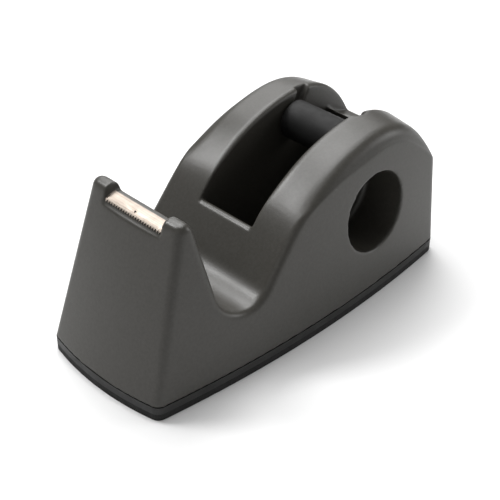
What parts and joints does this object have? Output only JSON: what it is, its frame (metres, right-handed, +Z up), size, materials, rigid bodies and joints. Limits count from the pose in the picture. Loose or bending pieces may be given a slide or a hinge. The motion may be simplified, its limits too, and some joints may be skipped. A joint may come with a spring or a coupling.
{
  "type": "desktop tape dispenser",
  "caption": "Weighted desktop tape dispenser: arched cheeks around a tape well, lift-out hub, toothed cutter head, round side grips and a soft black base.",
  "frame": {"origin": "on the resting face, under the middle of the body", "axes": "+X from the cutter towards the tail, +Y across the tape, +Z up"},
  "size_m": [0.158, 0.0754, 0.0703],
  "materials": {
    "body_grey": "fine satin moulded texture",
    "base_black": "moulded, matt",
    "pad_foam": "closed-cell foam, matt",
    "screw_steel": "zinc plated",
    "blade_steel": "rolled strip, bright",
    "ballast_iron": "rough casting",
    "cushion_foam": "foam, matt",
    "hub_dark": "moulded, satin",
    "pin_steel": "ground",
    "shoe_dark": "moulded, satin",
    "washer_nylon": "natural nylon"
  },
  "bodies": {
    "dispenser": {"body_shell": "body_grey", "base_plate": "base_black", "base_pad": "pad_foam", "base_screws": "screw_steel", "cutter_blade": "blade_steel", "ballast_front": "ballast_iron", "ballast_rear": "ballast_iron", "ballast_screws": "screw_steel", "ballast_washers": "screw_steel", "ballast_cushions": "cushion_foam"},
    "spindle": {"spindle_pin": "pin_steel", "spindle_shoe_left": "shoe_dark", "spindle_shoe_right": "shoe_dark", "thrust_washer_left": "washer_nylon", "thrust_washer_right": "washer_nylon"},
    "hub": {"hub_left": "hub_dark", "hub_right": "hub_dark"}
  },
  "joints": [
    {"name": "spindle_lift", "type": "slide", "parent": "dispenser", "child": "spindle", "axis": [0.515, 0, 0.8572], "range_m": [0, 0.026]},
    {"name": "hub_spin", "type": "hinge", "parent": "spindle", "child": "hub", "pos_m": [0.0375, 0, 0.0588], "axis": [0, 1, 0], "continuous": true}
  ]
}
